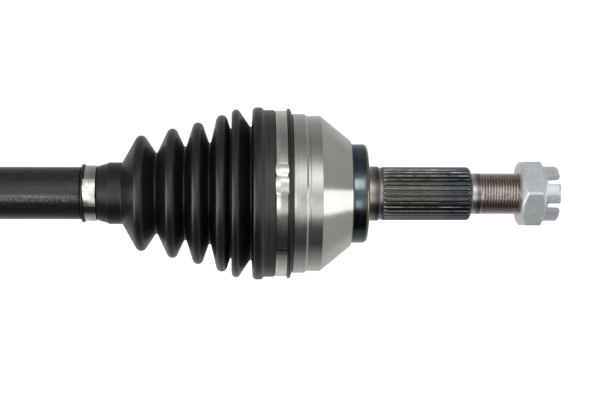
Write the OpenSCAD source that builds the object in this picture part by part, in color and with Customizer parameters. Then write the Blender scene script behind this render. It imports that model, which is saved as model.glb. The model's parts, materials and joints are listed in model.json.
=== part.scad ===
// CV axle: a fixed six-ball joint, a solid bar and a plunging tripod joint.
// +X points outboard along the bar, +Z is up. X = 0 is the hub shoulder face, on the axle's axis.

/* [Half shaft] */
// Diameter of the bare bar
bar_d = 28; // [26:0.5:30]
// Diameter of the bar inside both joints
bar_end_d = 24; // [22:0.5:24.5]
// Distance between the two joint centres
joint_span = 364; // [340:2:460]

/* [Outer joint] */
// Distance of the joint centre inboard of the hub shoulder
joint_depth = 36; // [35:0.25:38]
// Diameter of a ball
ball_d = 15.88; // [15:0.02:16.2]
// Radius of the circle that the ball centres lie on
ball_pitch_r = 28.5; // [28:0.1:29]
// Play between each moving pair in the ball joint
ball_play = 0.28; // [0.25:0.01:0.35]
// Diameter of the bell beside the boot
bell_d = 85.1; // [83:0.1:88]
// Diameter of the shoulder collar
collar_d = 53; // [48:0.5:56]
// Largest bend of the outer joint, each way
bend_max = 40; // [20:1:42]

/* [Stub axle] */
// Diameter of the plain journal next to the shoulder
journal_d = 29.2; // [28.6:0.1:30]
// Length of the plain journal
journal_len = 5.9; // [4:0.1:7]
// Diameter over the hub spline
spline_d = 28.5; // [27:0.1:28.8]
// Number of teeth on the hub spline
spline_teeth = 33; // [24:1:40]
// Where the hub spline ends
spline_end = 55.5; // [45:0.5:56]
// Thread diameter
thread_d = 22; // [20:1:24]
// Where the thread ends, inside the nut
thread_end = 95.4; // [94:0.1:96]

/* [Hub nut] */
// Width across the nut's flats
nut_flats = 34; // [32:1:36]
// Where the nut's inner face sits
nut_start = 81.7; // [78:0.1:83]
// Height of the nut's six-sided part, with its washer face
nut_hex_len = 12.3; // [12:0.1:14]
// Height of the whole nut
nut_len = 20.9; // [20:0.1:25]
// Diameter of the slotted crown
crown_d = 29.6; // [29.5:0.1:31]
// Width of each slot in the crown
slot_w = 4.9; // [4.5:0.1:6]
// Depth of each slot
slot_depth = 7; // [5:0.1:7.2]

/* [Boots and clamps] */
// Wall thickness of both boots
boot_wall = 1.7; // [1.3:0.1:2]
// Thickness of the clamp bands
band_t = 0.9; // [0.7:0.1:1]

/* [Inner joint] */
// Radius of a roller's round outside
roller_r = 15; // [14.5:0.1:15.2]
// Width of a roller along its trunnion
roller_w = 10; // [9:0.5:10]
// Radius of the circle that the roller centres lie on
roller_pitch_r = 22.5; // [22.3:0.1:23]
// Play between a roller and its track
roller_play = 0.65; // [0.6:0.05:0.8]
// Radius of a trunnion
trunnion_r = 8; // [7.5:0.1:8]
// Diameter of the tulip housing
housing_d = 80; // [79:0.5:86]
// Furthest plunge each way
plunge_max = 18; // [10:1:18]
// Largest tilt of the inner joint, each way
tilt_max = 18; // [10:1:18]
// Diameter of the inboard seal journal
seal_d = 40; // [36:1:42]
// Diameter over the inboard spline
inner_spline_d = 28; // [26:0.5:30]
// Number of teeth on the inboard spline
inner_spline_teeth = 28; // [24:1:36]

/* [Hidden] */
$fn = 72;

// Colours
steel = [0.74, 0.74, 0.72];
zinc = [0.80, 0.82, 0.83];
bearing = [0.62, 0.63, 0.65];
rubber = [0.10, 0.11, 0.10];
paint = [0.13, 0.14, 0.14];

// Joint centres on the axis
joint_x = -joint_depth;
spider_x = joint_x - joint_span;

// Outer joint: spheres about the joint centre, from the star outwards
ball_r = ball_d / 2;
track_r = ball_r + ball_play;
cage_wall = 4.6;
star_r = ball_pitch_r - cage_wall / 2 - 0.2;
cage_in_r = star_r + ball_play;
cage_out_r = cage_in_r + cage_wall;
bore_r = cage_out_r + ball_play;
star_half = 11;
cage_half = 12;
window_play = 0.36;
// The track runs past the ball at full bend
track_end = bend_max / 2 + asin(ball_r / ball_pitch_r) + 1.8;
// Further angle at the mouth, so that the tracks run out of the bell
track_run_out = 14;
pocket_depth = 24.5;
mouth_x = joint_x - 14.5;
mouth_chamfer = 3.5;
// A ball shifts along its window as the joint bends
window_shift = ball_pitch_r * sin(2) + 0.4;

// Bell outline stations
seat_r = bell_d / 2 - 1.2;
band_x = -49.2;
band_w = 6.1;
boot_edge_x = -40.1;
step_x = -33;
step_h = 0.95;
groove_x = -31.4;
groove_depth = 0.4;
cone_x = -25.2;
cone_end_x = -8.85;
cone_end_r = collar_d / 2 + 1.8;

// Stub axle stations, and the height of a spline's teeth
spline_x = journal_len + 2.1;
neck_r = thread_d / 2 - 0.05;
thread_x = spline_end + 4.9;
tooth_h = 1.15;

// Grooves for the clips on the bar, the stop shoulders opposite them, and the spring wire's thickness
groove_w = 1.5;
groove_h = 1;
shoulder_w = 2.3;
shoulder_h = 1;
wire_t = 1.4;

// Boot stations at the outer joint: the seat on the bar, both band seats and the end ring
bar_step_x = -152.3;
small_band_x = -150.2;
small_band_w = 6.2;
bar_seat_len = 26;
seat_small_r = bar_end_d / 2 + 0.4;
clamp_seat_r = 14.8 - band_t;
boot_ring_r = 46.05;
band_seat_h = 2;

// Inner joint stations
hub_r = 17.2;
hub_half = 11;
trunnion_top = 29.5;
clip_low = roller_pitch_r + roller_w / 2 + 0.25;
clip_t = 1;
lobe_limit_r = 32.5;
land_r = 20.5;
housing_mouth = spider_x + 28;
relief_len = 24;
relief_slope = tan(tilt_max) + 0.004;
cavity_end = spider_x - 24 - plunge_max;
cavity_len = housing_mouth - cavity_end + 1;
housing_floor_t = 9;
housing_back = cavity_end - housing_floor_t;
needle_r = 1;
needle_play = 0.05;
needle_count = 24;
needle_gap = 0.3;
seal_len = 20;
seal_x = housing_back - 10;
stub_neck_x = seal_x - seal_len - 4;
stub_neck_r = 13.2;
stub_end = stub_neck_x - 40;
inner_boot_x = spider_x + 138;
inner_band_x = housing_mouth - 10;
inner_band_w = 7;
inner_seat_r = housing_d / 2 - 1.2;

// ---- outline tools: points are [x, r], or [x, r, fillet radius] ----

function flat(p) = [p[0], p[1]];

// Arc that rounds corner b between a and c, kept within half of the shorter side
function arc_at(a, b, c, r, steps = 6) =
    let (
        u = (a - b) / norm(a - b),
        v = (c - b) / norm(c - b),
        half = acos(max(-1, min(1, u * v))) / 2,
        reach = min(r / tan(half), 0.48 * min(norm(a - b), norm(c - b))),
        radius = reach * tan(half),
        centre = b + (u + v) / norm(u + v) * (radius / sin(half)),
        p = b + u * reach - centre,
        q = b + v * reach - centre,
        start = atan2(p[1], p[0]),
        sweep = atan2(q[1], q[0]) - start,
        turn = sweep > 180 ? sweep - 360 : sweep < -180 ? sweep + 360 : sweep
    )
    [for (i = [0:steps]) centre + radius * [cos(start + turn * i / steps), sin(start + turn * i / steps)]];

// An outline with its marked corners rounded
function rounded(path) = [
    for (i = [0:len(path) - 1])
        for (p = (len(path[i]) > 2 && path[i][2] > 0 && i > 0 && i < len(path) - 1)
            ? arc_at(flat(path[i - 1]), flat(path[i]), flat(path[i + 1]), path[i][2])
            : [flat(path[i])])
            p
];

// Folds are circles, as [x, outermost or innermost radius, tip radius]. A root's tip radius has a minus.
function centre(c) = [c[0], c[1] - c[2]];

// Unit vector square to a heading, on its left
function square_to(a) = [-sin(a), cos(a)];

// Heading of the straight flank from one fold to the next
function heading(p, q) =
    let (d = centre(q) - centre(p))
    atan2(d[1], d[0]) - asin((p[2] - q[2]) / norm(d));

// Outline round a row of folds, or the wall's inside at depth t; the first and last only give the direction
function folded(c, t = 0, steps = 7) = [
    for (i = [1:len(c) - 2])
        let (a = heading(c[i - 1], c[i]), b = heading(c[i], c[i + 1]))
        for (k = [0:steps])
            centre(c[i]) + (c[i][2] - t) * square_to(a + (b - a) * k / steps)
];

function reversed(path) = [for (i = [len(path) - 1:-1:0]) path[i]];

// The points of an outline from one place to another
function slice(path, from, to) = [for (i = [from:to]) path[i]];

// Solid of revolution about the axle's axis
module turned(path) {
    rotate([0, 90, 0])
        rotate_extrude()
            polygon([for (p = path) [p[1], p[0]]]);
}

// Plain cylinder or cone along the axis, from x to x + len
module rod(x, len, r1, r2 = undef) {
    translate([x, 0, 0])
        rotate([0, 90, 0])
            cylinder(h = len, r1 = r1, r2 = r2 == undef ? r1 : r2);
}

// Ring along the axis
module ring(x, len, r_in, r_out) {
    turned([[x, r_in], [x + len, r_in], [x + len, r_out], [x, r_out]]);
}

// Part of a ring, between two angles measured from -Y up towards +Z
module ring_sector(x, len, r_in, r_out, from, to) {
    rotate([-from, 0, 0])
        rotate([0, 90, 0])
            rotate([0, 0, -90])
                rotate_extrude(angle = -(to - from))
                    polygon([[r_in, x], [r_out, x], [r_out, x + len], [r_in, x + len]]);
}

// Splined rod: straight-sided teeth, chamfered at its free end, which is +1 or -1 along the axis
module spline(x, len, d, teeth, end_chamfer, free_end) {
    pitch = 360 / teeth;
    root_r = d / 2 - tooth_h;
    blunt_x = free_end > 0 ? x - 1 : x + len + 1;
    tip_x = free_end > 0 ? x + len : x;
    outline = [
        for (i = [0:teeth - 1])
            for (p = [[root_r, -0.34], [d / 2, -0.17], [d / 2, 0.17], [root_r, 0.34]])
                p[0] * [cos((i + p[1]) * pitch), sin((i + p[1]) * pitch)]
    ];
    intersection() {
        translate([x, 0, 0])
            rotate([0, 90, 0])
                linear_extrude(height = len)
                    polygon(outline);
        turned([
            [blunt_x, 0],
            [blunt_x, d / 2 + 1],
            [tip_x - free_end * (end_chamfer + 1), d / 2 + 1],
            [tip_x + free_end, d / 2 - end_chamfer - 1],
            [tip_x + free_end, 0]
        ]);
    }
}

// ---- outer joint ----

function ball_angle(i) = 30 + 60 * i;

// Puts what is drawn on +Z at the joint centre onto ball position i
module at_ball(i) {
    translate([joint_x, 0, 0])
        rotate([ball_angle(i) - 90, 0, 0])
            children();
}

// One ball track: the swept ball, from angle a to angle b about the joint centre, + towards +X
module track(i, a, b) {
    at_ball(i)
        rotate([-90, 0, 0])
            rotate([0, 0, -90 - a])
                rotate_extrude(angle = -(b - a))
                    translate([ball_pitch_r, 0])
                        circle(r = track_r);
}

module bell_solid() {
    journal_r = journal_d / 2;
    bell_r = bell_d / 2;
    front_r = bell_r - step_h;
    turned(rounded([
        [mouth_x, 0],
        [mouth_x, seat_r, 0.8],
        [boot_edge_x, seat_r],
        [boot_edge_x, bell_r, 0.4],
        [step_x, bell_r, 0.4],
        [step_x + 0.5, front_r],
        [groove_x - 0.3, front_r],
        [groove_x, front_r - groove_depth],
        [groove_x + 0.3, front_r],
        [cone_x, front_r, 1],
        [cone_end_x, cone_end_r],
        [cone_end_x + 0.25, collar_d / 2],
        [0, collar_d / 2, 2.4],
        [0, journal_r],
        [journal_len, journal_r],
        [journal_len + 0.4, journal_r - 0.5],
        [spline_x, journal_r - 0.5],
        [spline_x, 0]
    ]));
    spline(spline_x - 0.2, spline_end - spline_x + 0.2, spline_d, spline_teeth, 1.5, 1);
    turned([
        [spline_end - 0.2, 0],
        [spline_end - 0.2, spline_d / 2 - 2],
        [spline_end + 0.8, neck_r],
        [thread_x, neck_r],
        [thread_x, thread_d / 2],
        [thread_end - 1.2, thread_d / 2],
        [thread_end, thread_d / 2 - 1.2],
        [thread_end, 0]
    ]);
}

module outer_race() color(steel) {
    difference() {
        bell_solid();
        intersection() {
            translate([joint_x, 0, 0])
                sphere(r = bore_r);
            rod(mouth_x - 20, 20 + pocket_depth + joint_x - mouth_x, 60);
        }
        rod(mouth_x - 0.01, mouth_chamfer + 0.01, bore_r + 1.8, bore_r - 2.8);
        for (i = [0:5])
            track(i, -track_end - track_run_out, track_end);
    }
}

module inner_race() color(bearing) {
    difference() {
        intersection() {
            translate([joint_x, 0, 0])
                sphere(r = star_r);
            rod(joint_x - star_half, 2 * star_half, star_r + 5);
        }
        rod(joint_x - star_half - 1, 2 * star_half + 2, bar_end_d / 2);
        for (i = [0:5])
            track(i, -70, 70);
    }
}

module ball_cage() color(bearing) {
    window = 2 * (ball_r + window_play);
    difference() {
        intersection() {
            translate([joint_x, 0, 0])
                sphere(r = cage_out_r);
            rod(joint_x - cage_half, 2 * cage_half, cage_out_r + 5);
        }
        translate([joint_x, 0, 0])
            sphere(r = cage_in_r);
        for (i = [0:5])
            at_ball(i)
                translate([0, 0, ball_pitch_r])
                    cube([window, window + 2 * window_shift, 20], center = true);
    }
}

module ball(i) color(bearing)
    at_ball(i)
        translate([0, 0, ball_pitch_r])
            sphere(r = ball_r);

module inner_race_circlip() color(steel)
    snap_ring(joint_x + star_half + 0.15, bar_end_d / 2 - groove_h, bar_end_d / 2 + 1.2, 14);

// Open ring of square section, with a gap at the top
module snap_ring(x, r_in, r_out, gap) {
    ring_sector(x, wire_t, r_in, r_out, 90 + gap, 450 - gap);
}

// ---- bar ----

module half_shaft() color(paint) {
    end_r = bar_end_d / 2;
    bar_r = bar_d / 2;
    shoulder_r = end_r + shoulder_h;
    star_stop = joint_x - star_half - 0.1;
    spider_stop = spider_x + hub_half + 0.1;
    outer_groove = joint_x + star_half + 0.1;
    inner_groove = spider_x - hub_half - 0.1 - groove_w;
    right = outer_groove + groove_w + 1;
    left = inner_groove - 1.8;
    inner_step = inner_boot_x + 1.2;
    turned([
        [left, 0],
        [left, end_r - 1],
        [left + 1, end_r],
        [inner_groove, end_r],
        [inner_groove, end_r - groove_h],
        [inner_groove + groove_w, end_r - groove_h],
        [inner_groove + groove_w, end_r],
        [spider_stop, end_r],
        [spider_stop, shoulder_r],
        [spider_stop + shoulder_w, shoulder_r],
        [spider_stop + shoulder_w + 1, end_r],
        [inner_step - bar_seat_len - 1, end_r],
        [inner_step - bar_seat_len, seat_small_r],
        [inner_step, seat_small_r],
        [inner_step + 0.4, bar_r],
        [bar_step_x, bar_r],
        [bar_step_x + 0.4, seat_small_r],
        [bar_step_x + bar_seat_len, seat_small_r],
        [bar_step_x + bar_seat_len + 1, end_r],
        [star_stop - shoulder_w - 1, end_r],
        [star_stop - shoulder_w, shoulder_r],
        [star_stop, shoulder_r],
        [star_stop, end_r],
        [outer_groove, end_r],
        [outer_groove, end_r - groove_h],
        [outer_groove + groove_w, end_r - groove_h],
        [outer_groove + groove_w, end_r],
        [right - 0.6, end_r],
        [right, end_r - 0.6],
        [right, 0]
    ]);
}

// ---- boots ----

// Folds of the outer boot, from its neck to the ring beside the large clamp
outer_folds = [
    [-134, 16.5, 0], [-131, 16.5, -1], [-120.6, 30.9, 3], [-112.4, 21.8, -0.8],
    [-104, 34.6, 2.9], [-97.1, 25.1, -0.8], [-90.3, 37.9, 2.9], [-84, 27.2, -0.7],
    [-77.6, 41.9, 3], [-72.8, 34.8, -0.5], [-70, 44.9, 2.3], [-62.3, 35.8, -0.6],
    [-59, boot_ring_r, 2.2], [-57.2, boot_ring_r, 1.8], [-54.8, boot_ring_r - 1.4, -0.8],
    [-52, boot_ring_r - 1.4, 0]
];

module outer_boot() color(rubber) {
    small_band_end = small_band_x + small_band_w;
    band_end = band_x + band_w;
    band_r = seat_r + band_seat_h;
    lip_r = boot_ring_r - 0.6;
    inner_r = seat_r - 3;
    turned(concat(
        rounded([
            [bar_step_x + 0.5, seat_small_r],
            [bar_step_x + 0.3, 15.7, 0.5],
            [small_band_x - 0.1, 15.3, 0.4],
            [small_band_x, clamp_seat_r],
            [small_band_end, clamp_seat_r],
            [small_band_end + 0.8, 14.6],
            [-138.4, 16],
            [-137.6, 16.5, 0.4],
            [-134, 16.5]
        ]),
        folded(outer_folds),
        rounded([
            [band_x - 0.2, boot_ring_r - 1.4],
            [band_x - 0.1, band_r],
            [band_end + 0.1, band_r],
            [band_end + 0.2, lip_r, 0.5],
            [boot_edge_x - 1.3, lip_r, 0.6],
            [boot_edge_x - 0.1, seat_r + 0.9],
            [boot_edge_x - 0.1, seat_r]
        ]),
        [[mouth_x - 0.1, seat_r], [mouth_x - 0.1, inner_r], [-56.5, inner_r]],
        reversed(folded(
            concat(slice(outer_folds, 0, 13), [[-56.5, inner_r + boot_wall, boot_wall]]),
            boot_wall
        )),
        [[-137, seat_small_r]]
    ));
}

// Folds of the inner boot, from the housing to its neck; x is measured from the small end
inner_folds = [
    [-98, 41.6, 0], [-95.5, 41.4, 1.2], [-91, 33.2, -0.9], [-85, 40.3, 2.3], [-76, 29.2, -0.9],
    [-70, 36.9, 2.4], [-62, 25.7, -0.9], [-56, 33.4, 2.4], [-49, 23.2, -0.9], [-43, 30.4, 2.4],
    [-36, 21.2, -0.9], [-30, 27.4, 2.4], [-22.5, 16.6, -1.2], [-17, 16.2, 0]
];

module inner_boot() color(rubber) {
    edge = inner_band_x - 3;
    band_r = inner_seat_r + 1.6;
    end_r = 42.6;
    lip_r = inner_seat_r - 4;
    folds = [for (p = inner_folds) [inner_boot_x + p[0], p[1], p[2]]];
    turned(concat(
        rounded([
            [edge, inner_seat_r],
            [edge, band_r + 1.2, 0.5],
            [inner_band_x - 0.2, band_r + 1.2, 0.4],
            [inner_band_x - 0.1, band_r],
            [inner_band_x + inner_band_w + 0.1, band_r],
            [inner_band_x + inner_band_w + 0.2, end_r, 0.6],
            [housing_mouth + 8, end_r, 1.5],
            [folds[1][0] - 2, folds[1][1] - 0.2]
        ]),
        folded(folds),
        rounded([
            [inner_boot_x - 17, 16.2],
            [inner_boot_x - 10, 14.8],
            [inner_boot_x - 8.2, clamp_seat_r],
            [inner_boot_x - 1.8, clamp_seat_r],
            [inner_boot_x - 1.7, 15.5, 0.4],
            [inner_boot_x + 0.6, 15.7, 0.5],
            [inner_boot_x + 0.8, seat_small_r]
        ]),
        [[inner_boot_x - 18, seat_small_r]],
        reversed([for (p = folded(folds, boot_wall)) [p[0], max(p[1], seat_small_r)]]),
        [
            [housing_mouth + 7, end_r - boot_wall],
            [housing_mouth + 0.4, lip_r],
            [housing_mouth + 0.1, lip_r],
            [housing_mouth + 0.1, inner_seat_r]
        ]
    ));
}

// ---- clamps ----

// Band clamp: a ring with a folded lock between two angles, and the step of its overlapping end below it
module band_clamp(x, w, r_in, lock_from, lock_to, lock_h) {
    core_r = r_in + band_t / 2;
    out_r = r_in + band_t;
    step_to = lock_from - 38;
    ring(x, w, r_in, out_r);
    ring_sector(x + 0.4, w - 0.8, core_r, out_r + lock_h, lock_from, lock_to);
    ring_sector(x + 0.7, w - 1.4, core_r, out_r + lock_h / 2, step_to - 6, step_to);
}

module outer_boot_clamp_large() color(zinc)
    band_clamp(band_x, band_w, seat_r + band_seat_h + 0.05, -1, 19.5, 0.9);

module outer_boot_clamp_small() color(zinc)
    band_clamp(small_band_x + 0.1, small_band_w - 0.2, clamp_seat_r + 0.02, -27, 29, 0.9);

module inner_boot_clamp_large() color(zinc)
    band_clamp(inner_band_x, inner_band_w, inner_seat_r + 1.65, -1, 19.5, 0.7);

module inner_boot_clamp_small() color(zinc)
    band_clamp(inner_boot_x - 8, small_band_w - 0.2, clamp_seat_r + 0.02, -27, 29, 0.9);

// ---- hub nut ----

module hub_nut() color(zinc) {
    flat_r = nut_flats / 2;
    corner_r = flat_r / cos(30);
    hex_end = nut_start + nut_hex_len;
    nut_end = nut_start + nut_len;
    difference() {
        union() {
            intersection() {
                translate([nut_start, 0, 0])
                    rotate([0, 90, 0])
                        rotate([0, 0, 30])
                            cylinder(h = nut_hex_len, r = corner_r, $fn = 6);
                turned([
                    [nut_start, 0],
                    [nut_start, flat_r - 0.4],
                    [nut_start + 0.8, flat_r - 0.4],
                    [nut_start + 0.8, flat_r - 0.2],
                    [nut_start + 2.6, corner_r + 0.1],
                    [hex_end - 1.9, corner_r + 0.1],
                    [hex_end, flat_r - 0.6],
                    [hex_end, 0]
                ]);
            }
            turned([
                [hex_end - 1, 0],
                [hex_end - 1, crown_d / 2],
                [nut_end - 1, crown_d / 2],
                [nut_end, crown_d / 2 - 0.8],
                [nut_end, 0]
            ]);
        }
        rod(nut_start - 1, nut_len + 2, thread_d / 2);
        for (i = [0:2])
            rotate([60 * i, 0, 0])
                translate([nut_end - slot_depth, -slot_w / 2, -crown_d])
                    cube([slot_depth + 1, slot_w, 2 * crown_d]);
    }
}

// ---- inner joint ----

function trunnion_angle(i) = 90 + 120 * i;

// Puts what is drawn on +Z at the spider centre onto trunnion i
module at_trunnion(i) {
    translate([spider_x, 0, 0])
        rotate([trunnion_angle(i) - 90, 0, 0])
            children();
}

module tulip_housing() color(steel) {
    barrel_r = housing_d / 2;
    seal_r = seal_d / 2;
    seal_start = seal_x - seal_len;
    difference() {
        union() {
            turned(rounded([
                [stub_neck_x, 0],
                [stub_neck_x, stub_neck_r],
                [seal_start, stub_neck_r],
                [seal_start, seal_r - 0.8],
                [seal_start + 0.8, seal_r],
                [seal_x, seal_r],
                [seal_x, seal_r + 5, 1],
                [seal_x + 6, seal_r + 6, 2],
                [housing_back + 8, barrel_r, 3],
                [inner_band_x - 7, barrel_r, 0.6],
                [inner_band_x - 6, inner_seat_r],
                [housing_mouth, inner_seat_r, 0.8],
                [housing_mouth, 0]
            ]));
            spline(stub_end, stub_neck_x - stub_end, inner_spline_d, inner_spline_teeth, 1.8, -1);
            rod(stub_neck_x - 2, 3, stub_neck_r - 0.8);
        }
        intersection() {
            union() {
                rod(cavity_end, cavity_len, land_r);
                for (i = [0:2])
                    at_trunnion(i)
                        translate([cavity_end - spider_x, 0, roller_pitch_r])
                            rotate([0, 90, 0])
                                cylinder(h = cavity_len, r = roller_r + roller_play);
            }
            rod(cavity_end - 1, cavity_len + 2, lobe_limit_r);
        }
        rod(housing_mouth - relief_len, relief_len + 0.01, land_r, land_r + relief_len * relief_slope);
        ring(stub_end + 5, wire_t + 0.2, inner_spline_d / 2 - 1.6, inner_spline_d);
    }
}

module stub_circlip() color(steel)
    snap_ring(stub_end + 5.1, inner_spline_d / 2 - 1.55, inner_spline_d / 2 + 0.2, 12);

module tripod_spider() color(bearing) {
    difference() {
        union() {
            turned(rounded([
                [spider_x - hub_half, 0],
                [spider_x - hub_half, hub_r, 1],
                [spider_x + hub_half, hub_r, 1],
                [spider_x + hub_half, 0]
            ]));
            for (i = [0:2])
                at_trunnion(i)
                    trunnion();
        }
        rod(spider_x - hub_half - 1, 2 * hub_half + 2, bar_end_d / 2);
    }
}

// One trunnion, standing up along +Z, with its clip groove
module trunnion() {
    rotate_extrude()
        polygon([
            [0, hub_r - 3],
            [trunnion_r, hub_r - 3],
            [trunnion_r, clip_low - 0.05],
            [trunnion_r - 0.8, clip_low - 0.05],
            [trunnion_r - 0.8, clip_low + clip_t + 0.05],
            [trunnion_r, clip_low + clip_t + 0.05],
            [trunnion_r, trunnion_top - 0.5],
            [trunnion_r - 0.5, trunnion_top],
            [0, trunnion_top]
        ]);
}

module tripod_roller(i) color(bearing)
    at_trunnion(i)
        difference() {
            intersection() {
                translate([0, 0, roller_pitch_r])
                    sphere(r = roller_r);
                translate([0, 0, roller_pitch_r - roller_w / 2])
                    cylinder(h = roller_w, r = roller_r + 1);
            }
            cylinder(h = 60, r = trunnion_r + 2 * needle_r + 2 * needle_play);
        }

module needle_bearing(i) color(steel)
    at_trunnion(i)
        for (k = [0:needle_count - 1])
            rotate([0, 0, 360 * k / needle_count])
                translate([trunnion_r + needle_play + needle_r, 0, roller_pitch_r - roller_w / 2 + needle_gap])
                    cylinder(h = roller_w - 2 * needle_gap, r = needle_r);

module roller_retaining_clip(i) color(steel)
    at_trunnion(i)
        rotate([0, 0, 20])
            rotate_extrude(angle = 320)
                polygon([
                    [trunnion_r - 0.75, clip_low],
                    [trunnion_r + 2.6, clip_low],
                    [trunnion_r + 2.6, clip_low + clip_t],
                    [trunnion_r - 0.75, clip_low + clip_t]
                ]);

module spider_circlip() color(steel)
    snap_ring(spider_x - hub_half - 1.55, bar_end_d / 2 - groove_h + 0.05, bar_end_d / 2 + 1.2, 14);

// ---- drawing ----

outer_race();
inner_race();
ball_cage();
ball(0);  // ball_1
ball(1);  // ball_2
ball(2);  // ball_3
ball(3);  // ball_4
ball(4);  // ball_5
ball(5);  // ball_6
inner_race_circlip();
half_shaft();
outer_boot();
outer_boot_clamp_large();
outer_boot_clamp_small();
hub_nut();
tulip_housing();
stub_circlip();
tripod_spider();
tripod_roller(0);  // tripod_roller_1
tripod_roller(1);  // tripod_roller_2
tripod_roller(2);  // tripod_roller_3
needle_bearing(0);  // needle_bearing_1
needle_bearing(1);  // needle_bearing_2
needle_bearing(2);  // needle_bearing_3
roller_retaining_clip(0);  // roller_retaining_clip_1
roller_retaining_clip(1);  // roller_retaining_clip_2
roller_retaining_clip(2);  // roller_retaining_clip_3
spider_circlip();
inner_boot();
inner_boot_clamp_large();
inner_boot_clamp_small();
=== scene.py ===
"""CV axle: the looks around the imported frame.

Outlines and radii are in millimetres in the row frame and become metres when a mesh is made.
X runs along the axle towards the hub nut, and X = 0 is the hub shoulder face.
An angle round the axle is measured from the viewer's side (-Y) up towards +Z.
"""

import json
import math

import bmesh
import bpy
import numpy as np
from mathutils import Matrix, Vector


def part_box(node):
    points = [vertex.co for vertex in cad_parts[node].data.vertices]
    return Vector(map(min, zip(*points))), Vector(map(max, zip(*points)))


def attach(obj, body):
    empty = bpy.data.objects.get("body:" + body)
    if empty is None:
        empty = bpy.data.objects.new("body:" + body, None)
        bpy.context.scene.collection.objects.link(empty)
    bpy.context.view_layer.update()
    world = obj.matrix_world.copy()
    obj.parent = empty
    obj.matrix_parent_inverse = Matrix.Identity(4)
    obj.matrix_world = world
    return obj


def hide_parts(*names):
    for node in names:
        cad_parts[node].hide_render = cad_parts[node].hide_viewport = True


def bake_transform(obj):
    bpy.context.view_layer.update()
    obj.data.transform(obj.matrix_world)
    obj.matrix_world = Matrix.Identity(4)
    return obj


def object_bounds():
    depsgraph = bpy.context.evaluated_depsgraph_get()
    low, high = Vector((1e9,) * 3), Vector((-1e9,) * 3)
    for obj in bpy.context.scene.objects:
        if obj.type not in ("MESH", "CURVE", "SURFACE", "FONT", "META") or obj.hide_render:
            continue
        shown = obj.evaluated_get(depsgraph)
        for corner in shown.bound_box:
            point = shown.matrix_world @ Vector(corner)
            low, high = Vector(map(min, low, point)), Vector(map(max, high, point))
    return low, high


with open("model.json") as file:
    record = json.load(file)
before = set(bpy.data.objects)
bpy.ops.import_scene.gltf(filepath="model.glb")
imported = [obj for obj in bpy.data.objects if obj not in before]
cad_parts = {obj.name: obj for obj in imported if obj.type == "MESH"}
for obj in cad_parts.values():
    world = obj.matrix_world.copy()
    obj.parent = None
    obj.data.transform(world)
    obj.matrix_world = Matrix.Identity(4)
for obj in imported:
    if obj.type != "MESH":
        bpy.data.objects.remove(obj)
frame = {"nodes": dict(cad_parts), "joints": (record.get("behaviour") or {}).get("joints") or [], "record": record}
cad_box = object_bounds()

MM = 0.001
FULL = 2 * math.pi


# ---------------- places from the frame

def joint(name):
    return next(j for j in frame["joints"] if j["name"] == name)


def low(node):
    """Lowest X of a CAD node, in mm."""
    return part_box(node)[0].x / MM


def high(node):
    """Highest X of a CAD node, in mm."""
    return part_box(node)[1].x / MM


def radius_of(node):
    """Largest height of a CAD node above the axle's axis, in mm."""
    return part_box(node)[1].z / MM


BALL_JOINT_X = joint("outer_bend")["pos_m"][0] / MM
SPIDER_X = joint("inner_tilt")["pos_m"][0] / MM

MOUTH_X = low("outer_race")
BELL_R = radius_of("outer_race")
SEAT_R = BELL_R - 1.2
STUB_END = high("outer_race")
BOOT_RING_R = radius_of("outer_boot")
BAND_X = low("outer_boot_clamp_large")
BAND_W = high("outer_boot_clamp_large") - BAND_X
SMALL_BAND_X = low("outer_boot_clamp_small")
SMALL_BAND_W = high("outer_boot_clamp_small") - SMALL_BAND_X
BAR_R = radius_of("half_shaft")
NUT_X = low("hub_nut")
NUT_END = high("hub_nut")
NUT_FLAT_R = radius_of("hub_nut")
HOUSING_MOUTH = high("tulip_housing")
HOUSING_END = low("tulip_housing")
HOUSING_R = radius_of("tulip_housing")
INNER_BOOT_X = high("inner_boot")
INNER_BAND_X = low("inner_boot_clamp_large")
INNER_BAND_W = high("inner_boot_clamp_large") - INNER_BAND_X

COLLAR_R = 26.5
CONE_X, CONE_END_X, CONE_END_R = -25.2, -8.85, 28.3
BOOT_EDGE_X = -40.1
JOURNAL_R, JOURNAL_END = 14.6, 5.9
SPLINE_X, SPLINE_END, SPLINE_R, SPLINE_TEETH, SPLINE_DEPTH = 8.0, 55.5, 14.25, 33, 1.05
THREAD_X, THREAD_R, THREAD_PITCH, THREAD_DEPTH = 60.4, 11.0, 1.5, 0.7
POCKET_R, POCKET_DEPTH = 31.16, 24.5
BALL_PITCH_R, TRACK_R, TRACK_OUT, TRACK_IN = 28.5, 8.22, -52, 38
NECK_R, BOOT_WALL, BAND_T = 12.4, 1.7, 0.9
INNER_SEAT_R = 38.8
BAND_INNER_R = SEAT_R + 2.05
INNER_BAND_INNER_R = INNER_SEAT_R + 1.65
CLAMP_TOP = BAND_INNER_R + BAND_T
CLAMP_SEAT_R = 14.8 - BAND_T
SMALL_BAND_INNER_R = CLAMP_SEAT_R + 0.02
HEX_END, CROWN_R, SLOT_W, SLOT_DEPTH = NUT_X + 12.3, 14.8, 4.9, 7.0
SEAL_R, SEAL_LEN = 20.0, 20.0


def placed(name, data):
    """A new object in the scene."""
    made = bpy.data.objects.new(name, data)
    bpy.context.scene.collection.objects.link(made)
    return made


# ---------------- camera

def make_camera():
    camera = placed("camera", bpy.data.cameras.new("camera"))
    camera.data.lens = 91.8
    camera.data.sensor_width = 36
    camera.data.clip_start = 0.05
    camera.data.clip_end = 30
    place = Vector((-0.0657, -0.821, -0.0035))
    aim = Vector((-0.0357, 0, -0.0035))
    camera.location = place
    turn = (aim - place).to_track_quat("-Z", "Y").to_euler()
    turn.y += math.radians(-0.07)
    camera.rotation_euler = turn
    bpy.context.scene.camera = camera


make_camera()


# ---------------- outlines

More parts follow.
